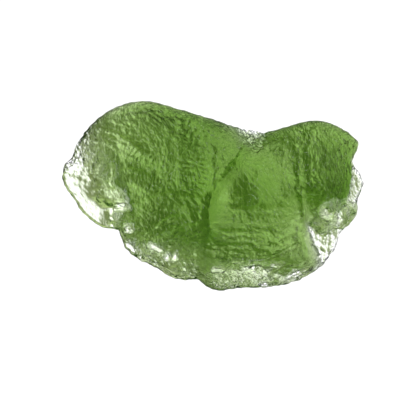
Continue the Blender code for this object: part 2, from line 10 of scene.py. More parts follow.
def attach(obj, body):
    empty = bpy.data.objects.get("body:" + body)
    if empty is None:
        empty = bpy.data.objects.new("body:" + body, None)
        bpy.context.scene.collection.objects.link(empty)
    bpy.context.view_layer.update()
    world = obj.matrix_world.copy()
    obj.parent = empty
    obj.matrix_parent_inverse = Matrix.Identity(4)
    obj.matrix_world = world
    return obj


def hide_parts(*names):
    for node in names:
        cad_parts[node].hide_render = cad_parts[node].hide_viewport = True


# The moldavite's look: clear green glass, etched all over, lit through from below on a white table.
# The stone is drawn again with a finer skin than its solid has. Its colour comes from how far the
# light goes through the glass, so its thin ends are nearly clear.

# The camera looks straight down with a long lens, given in millimetres. The stone is 305 pixels long
# in the photo, a little above and right of the middle.
PHOTO_PIXELS = 416
STONE_PIXELS = 305
AIM = (-0.00042, -0.00126, 0.0040)
LENS = 100.0
SENSOR = 36.0
NEAREST = 0.001

# The table top is a thin white sheet just under the stone. The light box is a sheet far below it.
TABLE_SIZE = 8.0
TABLE_DROP = 0.0001
TABLE_WHITE = 1.1
BOX_SIZE = 20.0
BOX_DEPTH = 0.8

# The light box is bright on one side and dim on the other. Places on it are shares of its depth. The
# light eases from side to side over its reach, the panels in front and behind add theirs from here to
# there, and further out it is as even as the room.
BRIGHT_WAY = (-0.8, -0.45, 0)
LIGHT_REACH = 0.26
SIDE_LIGHT = (0.3, 1.75)
SIDE_TINTS = [(0.85, 1, 0.5, 1), (1, 1, 1, 1), (1.1, 1, 1.3, 1)]
PANELS_FROM = (0.25, 0.6)
PANEL_LIGHT = 0.45
EVEN_FROM = (0.5, 1.4)
ROOM_LIGHT = 1.1

# The skin mirrors a darker room than the one that shines through it.
MIRRORED_LIGHT = 0.05

# Soft lights from above, for the glints: name, place and power.
SMALL_LIGHT_SIZE = 0.07
SMALL_LIGHTS = [
    ("upper left light", (-0.10, 0.10, 0.16), 0.055),
    ("right light", (0.14, 0.02, 0.16), 0.035),
    ("front light", (0.01, -0.14, 0.17), 0.035),
]

# Glass. The absorption is per metre of the way through it.
ABSORPTION = 397.0
ABSORPTION_TINT = (0.48, 0.66, 0.15, 1)
GLASS_IOR = 1.49
GLASS_ROUGHNESS = 0.02
# The surface tints are painted shade: the glass is darker and greener in the troughs of the fine wrinkles
# and near white on their crests.
GROOVE_SHADE_TINTS = [(0.90, 0.97, 0.84, 1), (1.0, 1.0, 0.97, 1)]

# The grain of the skin: fine wrinkles that run one way, bent by a broad noise, and round pits among
# them. Scales are per metre and the turn is in degrees.
GRAIN_DEPTH = 0.00018
GRAIN_TURN = 62
GRAIN_SCALE = (4200, 2600, 3400)
BEND_SCALE = 140.0
BEND = 0.004
PIT_SCALE = 2400.0
PIT_EASE = 0.3
PIT_SHARE = 0.7

# The grain is full on the face and fades out at the rim, by how far the skin faces up. It is faint on
# the flake, a fresher break, around this place and out to these distances.
FACE_UP = (-0.3, 0.3)
FLAKE_PLACE = (-0.0136, -0.0008, 0.0020)
FLAKE_REACH = (0.0028, 0.0046)
FLAKE_GRAIN = 0.3

# The number of cuts across each side of the starting cube.
FINE_CUTS = 127

# Driving dimensions, in metres. The outline is centred on the plan centre, a (u, v) place.
LENGTH = 0.0320
WIDTH = 0.0200
MM = 0.001
PLAN_CENTRE = (-0.03, 0.06)

# The body: how deep its belly is, how much lower it is at the rim, and its least half thickness.
BELLY_DEPTH = 3.4 * MM
DOME = 0.26
DOME_POWER = 3
LEAST_HALF = 0.2 * MM

# The flat spot lies this far up from the lowest point.
REST_DEPTH = 0.26 * MM

# The outline seen from above, anticlockwise from the right tip.
OUTLINE = [
    (1.00, 0.14), (0.97, 0.25), (0.93, 0.35), (0.94, 0.44), (0.96, 0.52), (0.92, 0.63), (0.85, 0.71),
    (0.73, 0.79), (0.62, 0.79), (0.50, 0.74), (0.38, 0.69), (0.26, 0.70), (0.14, 0.74), (0.03, 0.80),
    (-0.10, 0.86), (-0.25, 0.93), (-0.38, 0.99), (-0.50, 1.00), (-0.62, 0.95), (-0.72, 0.87),
    (-0.80, 0.76), (-0.87, 0.63), (-0.91, 0.52), (-0.93, 0.43), (-0.98, 0.34), (-1.00, 0.22),
    (-0.98, 0.10), (-0.93, -0.01), (-0.88, -0.14), (-0.79, -0.27), (-0.71, -0.34), (-0.65, -0.35),
    (-0.61, -0.43), (-0.58, -0.54), (-0.52, -0.64), (-0.42, -0.72), (-0.34, -0.79), (-0.28, -0.85),
    (-0.17, -0.89), (-0.09, -0.89), (-0.04, -0.95), (0.05, -1.00), (0.18, -0.97), (0.33, -0.97),
    (0.47, -0.94), (0.60, -0.87), (0.72, -0.74), (0.79, -0.62), (0.83, -0.47), (0.85, -0.38),
    (0.91, -0.29), (0.96, -0.17), (0.96, -0.04), (0.98, 0.05),
]

# The edge by compass angle on the plan: how far in it is rounded, how sharp it is (a half power is a
# full round, and a whole power a keen edge), and its height over the middle plane.
Edge = namedtuple("Edge", "angle width power height")

EDGES = [
    Edge(0, 1.4 * MM, 0.6, -0.9 * MM), Edge(22, 1.5 * MM, 0.5, -0.9 * MM),
    Edge(48, 3.0 * MM, 0.8, -1.1 * MM), Edge(72, 1.8 * MM, 0.6, -1.1 * MM),
    Edge(120, 1.6 * MM, 0.55, -1.1 * MM),
    Edge(150, 1.8 * MM, 0.6, -1.5 * MM), Edge(172, 2.4 * MM, 0.8, -2.2 * MM),
    Edge(200, 2.2 * MM, 0.8, -2.2 * MM), Edge(209, 2.2 * MM, 0.8, -2.0 * MM),
    Edge(220, 4.0 * MM, 0.9, -1.7 * MM), Edge(232, 5.6 * MM, 0.9, -1.6 * MM),
    Edge(252, 5.8 * MM, 0.9, -1.5 * MM), Edge(268, 4.4 * MM, 0.8, -1.3 * MM),
    Edge(310, 3.4 * MM, 0.8, -1.0 * MM), Edge(335, 2.4 * MM, 0.7, -1.0 * MM),
]

# A mound rises, and a hollow has a rise below zero. Half sizes are in metres, turn is in degrees.
Mound = namedtuple("Mound", "at along across turn rise")

FACE_MOUNDS = [
    Mound((-0.55, 0.51), 2.4 * MM, 0.9 * MM, -28, -0.9 * MM),
    Mound((-0.20, 0.82), 4.4 * MM, 1.6 * MM, -16, 1.5 * MM),
    Mound((-0.04, 0.56), 3.2 * MM, 1.7 * MM, -12, 1.0 * MM),
    Mound((-0.42, 0.27), 2.0 * MM, 1.2 * MM, -30, 0.9 * MM),
    Mound((-0.52, 0.00), 1.6 * MM, 1.5 * MM, 0, 0.7 * MM),
    Mound((-0.59, -0.30), 0.9 * MM, 1.2 * MM, 0, 1.0 * MM),
    Mound((-0.20, -0.20), 2.4 * MM, 2.2 * MM, 10, 0.4 * MM),
    Mound((-0.10, 0.06), 1.6 * MM, 1.4 * MM, 0, 0.4 * MM),
    Mound((0.29, 0.56), 2.4 * MM, 1.8 * MM, 10, -2.3 * MM),
    Mound((0.09, 0.03), 1.4 * MM, 2.0 * MM, 0, -1.6 * MM),
    Mound((0.29, 0.02), 1.5 * MM, 1.7 * MM, 0, 1.1 * MM),
    Mound((0.34, 0.00), 4.2 * MM, 2.8 * MM, 0, -0.6 * MM),
    Mound((0.22, -0.34), 3.6 * MM, 2.0 * MM, -4, -0.5 * MM),
    Mound((0.52, -0.30), 2.2 * MM, 1.1 * MM, 78, -1.0 * MM),
    Mound((0.52, 0.30), 1.4 * MM, 3.0 * MM, 8, -0.5 * MM),
    Mound((0.82, 0.38), 2.0 * MM, 3.0 * MM, 8, 0.8 * MM),
    Mound((0.86, 0.24), 2.4 * MM, 1.1 * MM, 80, 0.9 * MM),
    Mound((0.80, 0.10), 2.2 * MM, 1.8 * MM, 80, 1.1 * MM),
    Mound((0.57, 0.09), 2.8 * MM, 1.4 * MM, 12, 1.0 * MM),
    Mound((0.46, -0.62), 2.2 * MM, 0.9 * MM, 24, -0.6 * MM),
    Mound((-0.40, -0.46), 2.6 * MM, 1.6 * MM, -28, -0.4 * MM),
    Mound((-0.20, -0.60), 4.0 * MM, 1.7 * MM, -10, -1.4 * MM),
]

BELLY_MOUNDS = [
    Mound((0.08, 0.08), 5.4 * MM, 4.0 * MM, 0, 1.1 * MM),
    Mound((-0.18, -0.20), 2.6 * MM, 2.4 * MM, 0, 0.4 * MM),
    Mound((-0.25, 0.25), 4.0 * MM, 4.0 * MM, 0, 0.3 * MM),
    Mound((0.28, 0.60), 3.0 * MM, 2.4 * MM, 8, -1.3 * MM),
    Mound((0.82, 0.32), 3.0 * MM, 3.4 * MM, 0, 1.3 * MM),
]

# A thin part of the stone: its border on the plan, how thick it is there, and how broad the slopes
# of the face and the belly are that go down to it. The belly has its share of that thickness, and
# the edge is rounded no further in than its share.
ThinPart = namedtuple("ThinPart", "border thick face_slope belly_slope")
THIN_BELLY_SHARE = 0.45
THIN_EDGE_SHARE = 0.6

THIN_PARTS = [
    ThinPart(  # the lower left end
        [(-1.10, 0.34), (-0.95, 0.28), (-0.86, 0.20), (-0.78, 0.09), (-0.70, -0.02), (-0.62, -0.08),
         (-0.66, -0.20), (-0.67, -0.26), (-0.68, -0.40), (-1.10, -0.45)],
        2.3 * MM, 2.6 * MM, 3.4 * MM,
    ),
    ThinPart(  # its drop beside the broken step
        [(-0.70, 0.14), (-0.675, 0.09), (-0.62, 0.07), (-0.59, 0.03), (-0.58, -0.03), (-0.56, -0.08),
         (-0.55, -0.12), (-0.60, -0.14), (-0.66, -0.13), (-0.66, -0.20), (-0.74, -0.18),
         (-0.76, 0.02)],
        3.4 * MM, 0.5 * MM, 2.4 * MM,
    ),
    ThinPart(  # the nearly clear flake at its foot
        [(-1.10, 0.40), (-0.92, 0.32), (-0.84, 0.18), (-0.78, 0.04), (-0.70, -0.04), (-0.63, -0.07),
         (-0.63, -0.13), (-0.67, -0.20), (-0.68, -0.26), (-0.68, -0.40), (-1.10, -0.45)],
        0.7 * MM, 2.4 * MM, 2.6 * MM,
    ),
    ThinPart(  # the splintered foot of that step
        [(-0.66, -0.27), (-0.62, -0.31), (-0.60, -0.36), (-0.59, -0.46), (-0.57, -0.58), (-0.64, -0.66),
         (-0.75, -0.40)],
        1.0 * MM, 0.5 * MM, 0.9 * MM,
    ),
    ThinPart(  # the pitted band along the lower edge
        [(-0.02, -0.80), (0.06, -0.70), (0.17, -0.68), (0.26, -0.69), (0.34, -0.68), (0.40, -0.70),
         (0.48, -0.77), (0.60, -0.80), (0.66, -0.86), (0.50, -1.15), (0.04, -1.15), (-0.02, -0.95)],
        3.3 * MM, 3.0 * MM, 3.6 * MM,
    ),
    ThinPart(  # its thinnest stretch
        [(0.14, -0.77), (0.24, -0.73), (0.34, -0.72), (0.42, -0.76), (0.56, -0.84), (0.50, -0.90),
         (0.36, -0.86), (0.20, -0.84)],
        2.0 * MM, 1.4 * MM, 2.0 * MM,
    ),
    ThinPart(  # the lobe right of the long step
        [(0.60, -0.12), (0.60, -0.20), (0.62, -0.27), (0.65, -0.37), (0.68, -0.46), (0.70, -0.62),
         (0.78, -0.80), (1.10, -0.50), (1.10, -0.06), (0.90, -0.16), (0.76, -0.18)],
        4.4 * MM, 3.8 * MM, 3.8 * MM,
    ),
    ThinPart(  # clear glass at the lower right
        [(0.60, -0.27), (0.66, -0.23), (0.70, -0.28), (0.74, -0.34), (0.78, -0.31), (0.82, -0.27),
         (0.88, -0.26), (1.05, -0.25), (0.95, -0.85), (0.72, -0.85), (0.68, -0.69), (0.65, -0.56),
         (0.62, -0.46), (0.60, -0.37)],
        0.8 * MM, 1.6 * MM, 2.0 * MM,
    ),
    ThinPart(  # the clear strip down the right edge
        [(0.95, 0.44), (0.89, 0.37), (0.89, 0.14), (0.88, 0.02), (0.87, -0.06), (0.92, -0.12),
         (1.10, -0.10), (1.15, 0.35)],
        0.9 * MM, 0.8 * MM, 1.4 * MM,
    ),
]

# A window is a small place where the glass is thin and light comes straight through.
Window = namedtuple("Window", "at along across turn thick")

WINDOWS = [
    Window((0.755, -0.15), 0.80 * MM, 0.75 * MM, 0, 1.0 * MM),
    Window((0.845, -0.18), 0.60 * MM, 1.10 * MM, -10, 1.0 * MM),
    Window((-0.59, -0.09), 0.60 * MM, 0.40 * MM, -10, 1.2 * MM),
    Window((-0.54, -0.34), 0.45 * MM, 0.40 * MM, 0, 1.8 * MM),
    Window((-0.53, -0.53), 0.60 * MM, 0.30 * MM, -50, 0.8 * MM),
    Window((-0.37, -0.53), 0.70 * MM, 0.22 * MM, -24, 2.0 * MM),
    Window((-0.29, -0.63), 0.26 * MM, 0.34 * MM, 0, 1.8 * MM),
    Window((-0.24, -0.62), 0.20 * MM, 0.40 * MM, -20, 2.0 * MM),
    Window((0.04, -0.76), 0.60 * MM, 0.20 * MM, 0, 1.6 * MM),
    Window((0.27, -0.75), 0.90 * MM, 0.28 * MM, 4, 1.2 * MM),
    Window((0.42, -0.71), 0.60 * MM, 0.26 * MM, 24, 1.4 * MM),
    Window((0.36, -0.92), 0.70 * MM, 0.22 * MM, 6, 0.6 * MM),
    Window((0.56, -0.80), 1.20 * MM, 0.30 * MM, 26, 0.6 * MM),
]
WINDOW_BLEND = 0.6

# The left end is a wedge: thickness by place along a line turned from the length.
WEDGE_TURN = 16
WEDGE = [
    (-14.0 * MM, 0.8 * MM), (-12.0 * MM, 2.0 * MM), (-10.5 * MM, 3.5 * MM), (-9.2 * MM, 5.3 * MM),
    (-8.0 * MM, 6.7 * MM), (-6.5 * MM, 7.2 * MM), (-4.5 * MM, 7.8 * MM), (-2.0 * MM, 8.5 * MM),
    (0.0, 8.9 * MM),
]

# A crease follows a path on the face. Its rise is a ridge above zero and a groove below. Its step
# lifts the ground on the left of the path, out to some half widths. Creases and ripples are full
# where the stone is thick enough, and fade where it is thin.
Crease = namedtuple("Crease", "path half_width rise step")
STEP_REACH = 5
FULL_RELIEF = 4.0 * MM

CREASES = [
    Crease(  # the short broken edge of the left step
        [(-0.64, 0.30), (-0.64, 0.21), (-0.66, 0.13), (-0.62, 0.08), (-0.57, 0.03), (-0.55, -0.04),
         (-0.53, -0.13)],
        0.24 * MM, -0.80 * MM, 0.5 * MM,
    ),
    Crease(  # the groove down the middle
        [(0.01, 0.46), (-0.01, 0.34), (0.01, 0.22), (-0.01, 0.10), (-0.04, 0.00)],
        0.28 * MM, -0.34 * MM, 0.0,
    ),
    Crease([(-0.04, -0.04), (-0.06, -0.17), (-0.07, -0.31)], 0.30 * MM, -0.14 * MM, 0.0),
    Crease(  # the long curved ridge beside it
        [(0.20, 0.46), (0.135, 0.28), (0.07, 0.15), (0.01, 0.02), (-0.01, -0.10), (-0.02, -0.25),
         (-0.01, -0.35)],
        0.60 * MM, 1.00 * MM, 0.0,
    ),
    Crease(  # the fold above the ridge
        [(0.17, 0.46), (0.11, 0.35), (0.05, 0.21)],
        0.20 * MM, -0.75 * MM, 0.0,
    ),
    Crease(  # the wedge-shaped cut in the left bowl
        [(-0.35, -0.31), (-0.29, -0.25), (-0.24, -0.22)],
        0.18 * MM, -0.50 * MM, 0.30 * MM,
    ),
    Crease([(-0.31, -0.45), (-0.27, -0.41), (-0.24, -0.38)], 0.18 * MM, -0.30 * MM, 0.0),
    Crease([(-0.57, -0.29), (-0.50, -0.31), (-0.46, -0.35), (-0.35, -0.42), (-0.31, -0.47)],
           0.16 * MM, -0.20 * MM, 0.15 * MM),
    Crease(  # the upper rim of that bowl
        [(-0.41, -0.04), (-0.34, 0.01), (-0.25, 0.03), (-0.14, 0.00), (-0.03, -0.02)],
        0.24 * MM, -0.20 * MM, 0.40 * MM,
    ),
    Crease([(-0.11, -0.02), (-0.09, -0.12), (-0.08, -0.24)], 0.22 * MM, 0.18 * MM, 0.0),
    Crease([(-0.16, -0.10), (-0.13, -0.24), (-0.15, -0.36)], 0.22 * MM, -0.18 * MM, 0.0),
    Crease(  # the shelf under the middle bowl
        [(0.12, -0.12), (0.22, -0.135), (0.34, -0.13), (0.42, -0.11)],
        0.20 * MM, -0.28 * MM, 0.25 * MM,
    ),
    Crease([(0.08, -0.37), (0.18, -0.36), (0.26, -0.37)], 0.18 * MM, -0.22 * MM, 0.20 * MM),
    Crease([(0.02, -0.50), (0.12, -0.50), (0.24, -0.51), (0.28, -0.56)], 0.20 * MM, -0.26 * MM, 0.0),
    Crease(  # the dark trough above the lower lip
        [(0.02, -0.54), (0.18, -0.57), (0.30, -0.58), (0.42, -0.54), (0.52, -0.47)],
        0.55 * MM, -0.50 * MM, 0.0,
    ),
    Crease(  # the lower lip
        [(0.14, -0.67), (0.25, -0.68), (0.32, -0.67), (0.37, -0.63), (0.46, -0.56), (0.54, -0.50)],
        0.18 * MM, -0.80 * MM, 0.40 * MM,
    ),
    Crease(  # the second ledge below it
        [(0.35, -0.83), (0.44, -0.74), (0.52, -0.71), (0.60, -0.70)],
        0.18 * MM, -0.25 * MM, -0.40 * MM,
    ),
    Crease([(-0.11, -0.54), (-0.10, -0.62), (-0.10, -0.74)], 0.20 * MM, -0.25 * MM, 0.0),
    Crease(  # the long step on the right
        [(0.70, -0.66), (0.67, -0.52), (0.63, -0.42), (0.60, -0.33), (0.585, -0.24), (0.58, -0.14),
         (0.56, 0.00)],
        0.24 * MM, 0.80 * MM, 0.0,
    ),
    Crease(  # the upright folds in the right lobe
        [(0.52, 0.56), (0.53, 0.40), (0.55, 0.26), (0.54, 0.10)],
        0.35 * MM, 0.14 * MM, 0.0,
    ),
    Crease([(0.60, 0.46), (0.62, 0.34), (0.61, 0.20), (0.63, 0.06)], 0.32 * MM, 0.12 * MM, 0.0),
    Crease([(0.70, 0.44), (0.69, 0.28), (0.71, 0.12), (0.69, 0.00)], 0.22 * MM, -0.10 * MM, 0.0),
    Crease([(0.61, 0.62), (0.72, 0.68), (0.82, 0.66), (0.90, 0.58)], 0.35 * MM, 0.22 * MM, 0.0),
    Crease(  # upright dark folds left of the ripples
        [(-0.20, 0.75), (-0.20, 0.60), (-0.21, 0.46), (-0.20, 0.30), (-0.21, 0.14)],
        0.22 * MM, -0.18 * MM, 0.0,
    ),
    Crease([(-0.28, 0.66), (-0.30, 0.50), (-0.28, 0.36)], 0.20 * MM, -0.12 * MM, 0.0),
    Crease(  # the sweeping lines beside the light streak
        [(-0.74, 0.70), (-0.62, 0.64), (-0.52, 0.54), (-0.46, 0.44)],
        0.20 * MM, -0.20 * MM, 0.0,
    ),
    Crease([(-0.78, 0.60), (-0.68, 0.56), (-0.60, 0.46), (-0.50, 0.38)], 0.20 * MM, -0.22 * MM, 0.15 * MM),
    Crease([(-0.62, 0.22), (-0.54, 0.27), (-0.46, 0.24), (-0.38, 0.16)], 0.18 * MM, -0.20 * MM, 0.0),
    Crease([(-0.60, 0.12), (-0.50, 0.13), (-0.42, 0.06)], 0.18 * MM, -0.16 * MM, 0.0),
    Crease(  # the ledge round the flake at the upper left edge
        [(-0.94, 0.42), (-0.85, 0.48), (-0.81, 0.58), (-0.82, 0.68), (-0.75, 0.80), (-0.66, 0.90)],
        0.18 * MM, -0.30 * MM, 0.35 * MM,
    ),
    Crease(  # the crack under the left step
        [(-0.56, -0.13), (-0.65, -0.13), (-0.66, -0.22), (-0.62, -0.29), (-0.60, -0.36), (-0.60, -0.50)],
        0.20 * MM, -1.00 * MM, 0.3 * MM,
    ),
]

BELLY_CREASES = [
    Crease([(-0.70, 0.10), (-0.45, 0.20), (-0.20, 0.45), (0.00, 0.70)], 0.60 * MM, -0.30 * MM, 0.0),
    Crease([(-0.40, -0.45), (-0.15, -0.35), (0.10, -0.45), (0.40, -0.35)], 0.60 * MM, -0.30 * MM, 0.0),
    Crease([(0.35, 0.60), (0.45, 0.30), (0.70, 0.05)], 0.60 * MM, -0.30 * MM, 0.0),
]

# Ripples: a patch of near-parallel wrinkles. Their turn is the way that the wrinkles run, and the
# wander bends them.
Ripples = namedtuple("Ripples", "at along across turn pitch depth")
RIPPLE_WANDER = 5

RIPPLES = [
    Ripples((-0.11, 0.17), 1.6 * MM, 2.0 * MM, -4, 0.50 * MM, 0.13 * MM),
    Ripples((-0.55, 0.60), 3.0 * MM, 1.6 * MM, -24, 0.60 * MM, 0.07 * MM),
    Ripples((-0.14, 0.62), 2.6 * MM, 1.8 * MM, 70, 0.70 * MM, 0.07 * MM),
    Ripples((0.62, 0.45), 2.6 * MM, 2.4 * MM, 82, 0.85 * MM, 0.05 * MM),
    Ripples((0.25, -0.32), 4.0 * MM, 1.4 * MM, 2, 1.10 * MM, 0.07 * MM),
    Ripples((0.64, -0.12), 1.0 * MM, 1.1 * MM, 8, 0.45 * MM, 0.08 * MM),
    Ripples((-0.16, -0.12), 1.8 * MM, 1.8 * MM, -50, 0.95 * MM, 0.08 * MM),
]

# Etch pits are bowls that meet in sharp rims, by width and depth: a wide set and a fine one. They
# are deeper in the rough patches, by the rise of each patch, and shallower where the stone is thin.
PITS = [(1.10 * MM, 0.10 * MM), (0.60 * MM, 0.14 * MM)]
PIT_RADIUS = 0.55
THIN_PIT_SHARE = 0.45
PITS_GROW = (0.3 * MM, 2.5 * MM)
ROUGH_PATCHES = [
    Mound((0.27, 0.60), 2.0 * MM, 1.2 * MM, 0, 3.0),
    Mound((0.72, -0.46), 2.0 * MM, 2.4 * MM, 0, 2.0),
    Mound((0.30, -0.86), 5.0 * MM, 1.2 * MM, 0, 1.6),
    Mound((-0.44, -0.62), 3.0 * MM, 1.0 * MM, -40, 0.8),
    Mound((-0.85, 0.32), 1.6 * MM, 2.0 * MM, 0, 0.8),
    Mound((-0.76, -0.16), 2.6 * MM, 1.8 * MM, 0, -0.9),
    Mound((0.92, 0.50), 1.0 * MM, 1.6 * MM, 0, 0.8),
]

# Noise, each by width and height. Swells are broad waves of the whole skin. The wander makes the
# creases and borders uneven, and the beads roughen the outline and fade quickly inwards.
SWELLS = [(6.0 * MM, 0.20 * MM), (2.6 * MM, 0.12 * MM), (1.4 * MM, 0.06 * MM)]
WANDER = (0.9 * MM, 0.12 * MM)
BEADS = (0.50 * MM, 0.10 * MM)
BEAD_POWER = 8
SEED_SHIFT = Vector((3.7, 1.3, 8.1))
WANDER_SEED = 1
SWELL_SEED = 3
PIT_SEED = 6
BEAD_SEED = 9


def ease(values, low, high):
    """0 below low, 1 above high, and a smooth rise between."""
    t = np.clip((values - low) / (high - low), 0, 1)
    return t * t * (3 - 2 * t)


def to_plan(place):
    """A (u, v) place in metres."""
    return place[0] * LENGTH / 2, place[1] * WIDTH / 2


def round_loop(knots, at):
    """A smooth closed curve of value over angle, read at the given angles. Knots are (angle, value)."""
    knots = sorted(knots)
    angle = np.array([k[0] for k in knots])
    value = np.array([k[1] for k in knots])
    angle = np.concatenate((angle[-2:] - math.tau, angle, angle[:2] + math.tau))
    value = np.concatenate((value[-2:], value, value[:2]))
    slope = np.gradient(value, angle)
    i = np.clip(np.searchsorted(angle, at) - 1, 0, len(angle) - 2)
    span = angle[i + 1] - angle[i]
    t = (at - angle[i]) / span
    start = (1 + 2 * t) * (1 - t) ** 2 * value[i] + t * (1 - t) ** 2 * span * slope[i]
    end = t * t * (3 - 2 * t) * value[i + 1] + t * t * (t - 1) * span * slope[i + 1]
    return start + end


def outline_knots():
    """The outline as (angle, radius) about the plan's centre."""
    cx, cy = to_plan(PLAN_CENTRE)
    knots = []
    for place in OUTLINE:
        x, y = to_plan(place)
        knots.append((math.atan2(y - cy, x - cx), math.hypot(x - cx, y - cy)))
    return knots


def edge_knots(values):
    angles = [math.remainder(math.radians(e.angle), math.tau) for e in EDGES]
    return list(zip(angles, values))


def path_field(x, y, path):
    """Distance to a path on the plan, and the side of it: 1 on its left, -1 on its right."""
    nearest = np.full(x.shape, np.inf)
    side = np.ones(x.shape)
    for start, end in zip(path, path[1:]):
        ax, ay = to_plan(start)
        bx, by = to_plan(end)
        dx, dy = bx - ax, by - ay
        t = np.clip(((x - ax) * dx + (y - ay) * dy) / (dx * dx + dy * dy), 0, 1)
        away = np.hypot(x - ax - t * dx, y - ay - t * dy)
        closer = away < nearest
        nearest = np.where(closer, away, nearest)
        side = np.where(closer, np.sign(dx * (y - ay) - dy * (x - ax)), side)
    return nearest, side


def inside_depth(x, y, border):
    """How far inside a border a place is, below zero outside it."""
    away, _ = path_field(x, y, border + border[:1])
    within = np.zeros(x.shape, bool)
    for start, end in zip(border, border[1:] + border[:1]):
        ax, ay = to_plan(start)
        bx, by = to_plan(end)
        crosses = (ay > y) != (by > y)
        rise = by - ay if by != ay else 1.0
        within ^= crosses & (x < ax + (y - ay) * (bx - ax) / rise)
    return np.where(within, away, -away)


def turned(x, y, at, turn):
    """Places measured from a centre, along and across a direction."""
    cx, cy = to_plan(at)
    c, s = math.cos(math.radians(turn)), math.sin(math.radians(turn))
    return (x - cx) * c + (y - cy) * s, (y - cy) * c - (x - cx) * s


def mound_field(x, y, mounds):
    total = np.zeros(x.shape)
    for m in mounds:
        along, across = turned(x, y, m.at, m.turn)
        total += m.rise * np.exp(-((along / m.along) ** 2) - (across / m.across) ** 2)
    return total


def crease_field(x, y, creases):
    total = np.zeros(x.shape)
    for c in creases:
        away, side = path_field(x, y, c.path)
        near = np.exp(-((away / c.half_width) ** 2))
        fade = np.exp(-((away / (STEP_REACH * c.half_width)) ** 2))
        raised = ease(side * away, -c.half_width / 2, c.half_width / 2)
        total += c.rise * near + c.step * fade * raised
    return total


def ripple_field(x, y, wander):
    total = np.zeros(x.shape)
    for r in RIPPLES:
        along, across = turned(x, y, r.at, r.turn)
        patch = np.exp(-((along / r.along) ** 4) - (across / r.across) ** 4)
        total += r.depth * patch * np.sin(math.tau * across / r.pitch + RIPPLE_WANDER * wander)
    return total


def noise_field(places, size, seed):
    """Smooth noise between -1 and 1, with lumps about as wide as size."""
    shift = SEED_SHIFT * seed
    return np.array([noise.noise(Vector(p) / size + shift) for p in places])


def pit_field(places, size, seed):
    """Bowls about as wide as size, 0 at their rims and -1 at the bottom."""
    shift = SEED_SHIFT * seed
    near = np.array([noise.voronoi(Vector(p) / size + shift)[0][0] for p in places])
    return np.minimum(near / PIT_RADIUS, 1.0) ** 2 - 1


def quad_sphere(cuts):
    """A unit sphere of near-even squares: a cube, cut up and pushed out."""
    bm = bmesh.new()
    bmesh.ops.create_cube(bm, size=2.0)
    bmesh.ops.subdivide_edges(bm, edges=bm.edges[:], cuts=cuts, use_grid_fill=True)
    for vert in bm.verts:
        vert.co = Vector([math.tan(c * math.pi / 4) for c in vert.co]).normalized()
    mesh = bpy.data.meshes.new("moldavite")
    bm.to_mesh(mesh)
    bm.free()
    return mesh


def read(mesh, what="co"):
    source = mesh.vertices if what == "co" else mesh.vertex_normals
    flat = np.empty(3 * len(source))
    source.foreach_get("co" if what == "co" else "vector", flat)
    return flat.reshape(-1, 3)


def write(mesh, points):
    mesh.vertices.foreach_set("co", points.astype(np.float32).ravel())
    mesh.update()


def thickness(x, y):
    """The plain body, thinned to a wedge at its left end."""
    along, _ = turned(x, y, (0, 0), WEDGE_TURN)
    place, thick = zip(*WEDGE)
    return np.interp(along, place, thick)


def thinned(face, belly, rim, thick, over, under):
    """Face and belly drawn together to this thickness about the rim's height, by these shares."""
    face = face + (thick * (1 - THIN_BELLY_SHARE) + rim - face) * over
    belly = belly + (thick * THIN_BELLY_SHARE - rim - belly) * under
    return face, belly


def shaped(sphere):
    """The smooth stone: each point of the sphere moved out to the outline and up or down to its skin."""
    reach = np.hypot(sphere[:, 0], sphere[:, 1])
    angle = np.arctan2(sphere[:, 1], sphere[:, 0])
    radius = round_loop(outline_knots(), angle)
    cx, cy = to_plan(PLAN_CENTRE)
    x = cx + reach * radius * np.cos(angle)
    y = cy + reach * radius * np.sin(angle)

    flat = np.column_stack((x, y, np.zeros(len(x))))
    beads = BEADS[1] * noise_field(flat, BEADS[0], BEAD_SEED) * reach ** BEAD_POWER
    x += beads * np.cos(angle)
    y += beads * np.sin(angle)
    wander = noise_field(flat, WANDER[0], WANDER_SEED)
    wx = x + WANDER[1] * wander
    wy = y + WANDER[1] * noise_field(flat, WANDER[0], WANDER_SEED + 1)
    swell = sum(h * noise_field(flat, w, SWELL_SEED + i) for i, (w, h) in enumerate(SWELLS))

    dome = 1 - DOME * reach ** DOME_POWER
    belly = BELLY_DEPTH * dome + mound_field(x, y, BELLY_MOUNDS) - swell
    body = thickness(x, y) * dome
    face = body - BELLY_DEPTH + mound_field(x, y, FACE_MOUNDS) + swell
    wide, power, rim = (round_loop(edge_knots(values), angle) for values in list(zip(*EDGES))[1:])
    for part in THIN_PARTS:
        depth = inside_depth(wx, wy, part.border)
        over = ease(depth, -part.face_slope / 2, part.face_slope / 2)
        under = ease(depth, -part.belly_slope / 2, part.belly_slope / 2)
        face, belly = thinned(face, belly, rim, part.thick, over, under)
        wide += (np.minimum(wide, THIN_EDGE_SHARE * part.thick) - wide) * over

    relief = np.clip((face + belly) / FULL_RELIEF, 0, 1)
    face += relief * (crease_field(wx, wy, CREASES) + ripple_field(wx, wy, wander))
    belly += relief * crease_field(wx, wy, BELLY_CREASES)
    for window in WINDOWS:
        along, across = turned(wx, wy, window.at, window.turn)
        inside = 1 - np.hypot(along / window.along, across / window.across)
        share = ease(inside, -WINDOW_BLEND, WINDOW_BLEND)
        face, belly = thinned(face, belly, rim, window.thick, share, share)
    inward = np.clip((1 - reach) * radius / wide, 0, 1)
    rounding = (1 - (1 - inward) ** 2) ** power
    top = np.maximum(face - rim, LEAST_HALF)
    bottom = np.maximum(belly + rim, LEAST_HALF)
    z = rim + np.where(sphere[:, 2] >= 0, top, -bottom) * rounding
    return np.column_stack((x, y, z)), (top + bottom) * rounding


def etched(points, normals, thick):
    """The finished skin: bowls pressed in along the normals, shallower where the stone is thin."""
    depth = sum(d * pit_field(points, width, PIT_SEED + i) for i, (width, d) in enumerate(PITS))
    depth *= 1 + mound_field(points[:, 0], points[:, 1], ROUGH_PATCHES)
    depth *= THIN_PIT_SHARE + (1 - THIN_PIT_SHARE) * ease(thick, *PITS_GROW)
    return points + normals * depth[:, None]


